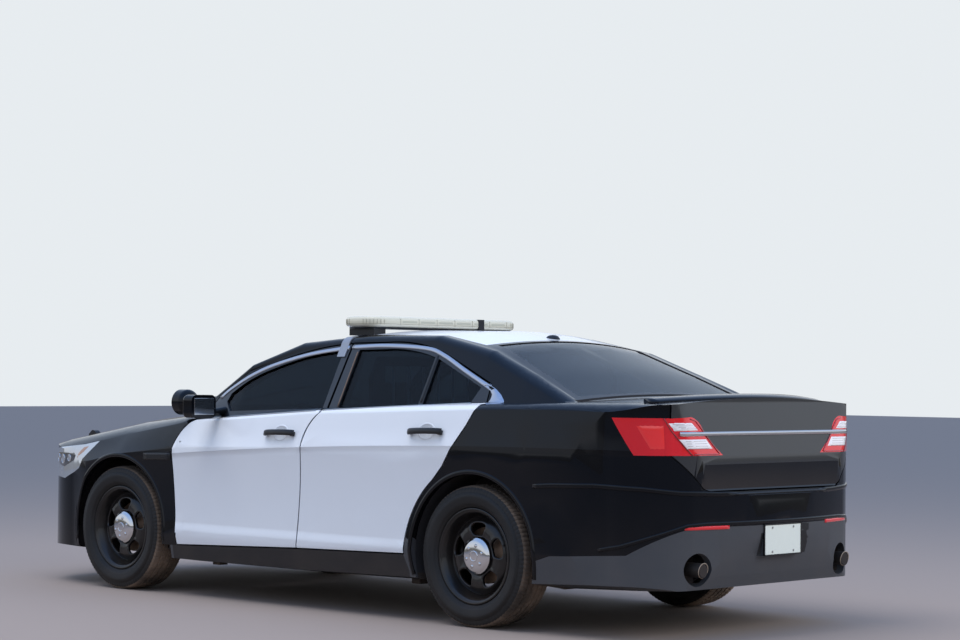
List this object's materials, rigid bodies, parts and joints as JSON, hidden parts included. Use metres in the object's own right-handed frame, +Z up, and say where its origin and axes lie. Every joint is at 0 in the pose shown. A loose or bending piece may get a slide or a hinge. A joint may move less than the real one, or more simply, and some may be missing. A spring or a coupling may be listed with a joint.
{
  "type": "police patrol car",
  "caption": "Four-door saloon patrol car on steel wheels, with roof light bar, push bar, spotlight, opening doors, hood and trunk lid and steered front wheels.",
  "frame": {"origin": "on the ground at the middle of the car's bounding box", "axes": "+X to the car's left, +Y to its rear, +Z up"},
  "size_m": [2.274, 5.264, 1.606],
  "materials": {
    "black_paint": "gloss black enamel",
    "white_paint": "gloss white enamel",
    "charcoal_plastic": "satin grained",
    "black_plastic": "fine grain",
    "tinted_glass": "dark tint, polished",
    "red_lens": "moulded lens",
    "clear_lens": "moulded lens",
    "bar_lens": "segmented lens",
    "black_steel": "semi-gloss",
    "bare_steel": "dusty",
    "tyre": "dusty tread",
    "cast_metal": "rough",
    "seat_cloth": "woven",
    "bench_plastic": "wipe-clean",
    "bright_metal": "satin"
  },
  "bodies": {
    "body": {"body_shell": "black_paint", "roof_panel": "white_paint", "front_fenders": "black_paint", "front_bumper": "black_paint", "grille": "black_plastic", "headlamps": "clear_lens", "tail_lamps": "red_lens", "rear_bumper": "black_paint", "rear_valance": "charcoal_plastic", "sill_cladding": "charcoal_plastic", "windscreen": "tinted_glass", "rear_window": "tinted_glass", "light_bar": "bar_lens", "light_bar_feet": "bright_metal", "spotlight": "black_plastic", "push_bar": "black_steel", "dashboard": "black_plastic", "front_seats": "seat_cloth", "rear_bench": "bench_plastic", "partition": "black_steel", "engine_block": "cast_metal", "front_subframe": "black_steel", "rear_suspension": "bare_steel", "exhaust": "bare_steel", "fuel_tank": "bench_plastic"},
    "hood": {"hood": "black_paint"},
    "trunk": {"trunk_lid": "black_paint", "lid_lamps": "red_lens"},
    "door_front_left_body": {"door_front_left": "white_paint", "window_front_left": "tinted_glass", "mirror_left": "black_plastic"},
    "door_rear_left_body": {"door_rear_left": "white_paint", "window_rear_left": "tinted_glass"},
    "door_front_right_body": {"door_front_right": "white_paint", "window_front_right": "tinted_glass", "mirror_right": "black_plastic"},
    "door_rear_right_body": {"door_rear_right": "white_paint", "window_rear_right": "tinted_glass"},
    "steer_left_body": {"knuckle_left": "bare_steel"},
    "steer_right_body": {"knuckle_right": "bare_steel"},
    "steering_wheel_body": {"steering_wheel": "black_plastic"},
    "wheel_front_left_body": {"wheel_front_left": "black_steel", "tyre_front_left": "tyre"},
    "wheel_front_right_body": {"wheel_front_right": "black_steel", "tyre_front_right": "tyre"},
    "wheel_rear_left_body": {"wheel_rear_left": "black_steel", "tyre_rear_left": "tyre"},
    "wheel_rear_right_body": {"wheel_rear_right": "black_steel", "tyre_rear_right": "tyre"}
  },
  "joints": [
    {"name": "door_front_left_swing", "type": "hinge", "parent": "body", "child": "door_front_left_body", "pos_m": [0.943, -0.925, 0.635], "axis": [0, 0, -1], "range_deg": [0, 65]},
    {"name": "door_rear_left_swing", "type": "hinge", "parent": "body", "child": "door_rear_left_body", "pos_m": [0.943, 0.146, 0.635], "axis": [0, 0, -1], "range_deg": [0, 65]},
    {"name": "door_front_right_swing", "type": "hinge", "parent": "body", "child": "door_front_right_body", "pos_m": [-0.943, -0.925, 0.635], "axis": [0, 0, 1], "range_deg": [0, 65]},
    {"name": "door_rear_right_swing", "type": "hinge", "parent": "body", "child": "door_rear_right_body", "pos_m": [-0.943, 0.146, 0.635], "axis": [0, 0, 1], "range_deg": [0, 65]},
    {"name": "hood_swing", "type": "hinge", "parent": "body", "child": "hood", "pos_m": [0, -1.042, 1.048], "axis": [-1, 0, 0], "range_deg": [0, 50]},
    {"name": "trunk_swing", "type": "hinge", "parent": "body", "child": "trunk", "pos_m": [0, 1.914, 1.156], "axis": [1, 0, 0], "range_deg": [0, 75]},
    {"name": "steer_left", "type": "hinge", "parent": "body", "child": "steer_left_body", "pos_m": [0.72271, -1.492, 0.3635], "axis": [-0.2778, 0, 0.9606], "range_deg": [-33, 33]},
    {"name": "steer_right", "type": "hinge", "parent": "body", "child": "steer_right_body", "pos_m": [-0.72271, -1.492, 0.3635], "axis": [0.2778, 0, 0.9606], "range_deg": [-33, 33]},
    {"name": "steering_wheel_turn", "type": "hinge", "parent": "body", "child": "steering_wheel_body", "pos_m": [0.37, -0.455, 0.935], "axis": [0, 0.9338, 0.3579], "range_deg": [-480, 480]},
    {"name": "wheel_front_left_spin", "type": "hinge", "parent": "steer_left_body", "child": "wheel_front_left_body", "pos_m": [0.83, -1.492, 0.3635], "axis": [1, 0, 0], "continuous": true},
    {"name": "wheel_front_right_spin", "type": "hinge", "parent": "steer_right_body", "child": "wheel_front_right_body", "pos_m": [-0.83, -1.492, 0.3635], "axis": [1, 0, 0], "continuous": true},
    {"name": "wheel_rear_left_spin", "type": "hinge", "parent": "body", "child": "wheel_rear_left_body", "pos_m": [0.83, 1.376, 0.3635], "axis": [1, 0, 0], "continuous": true},
    {"name": "wheel_rear_right_spin", "type": "hinge", "parent": "body", "child": "wheel_rear_right_body", "pos_m": [-0.83, 1.376, 0.3635], "axis": [1, 0, 0], "continuous": true}
  ],
  "couplings": [
    {"joint": "steer_right", "follows": "steer_left", "ratio": 1},
    {"joint": "steering_wheel_turn", "follows": "steer_left", "ratio": 14.5}
  ]
}
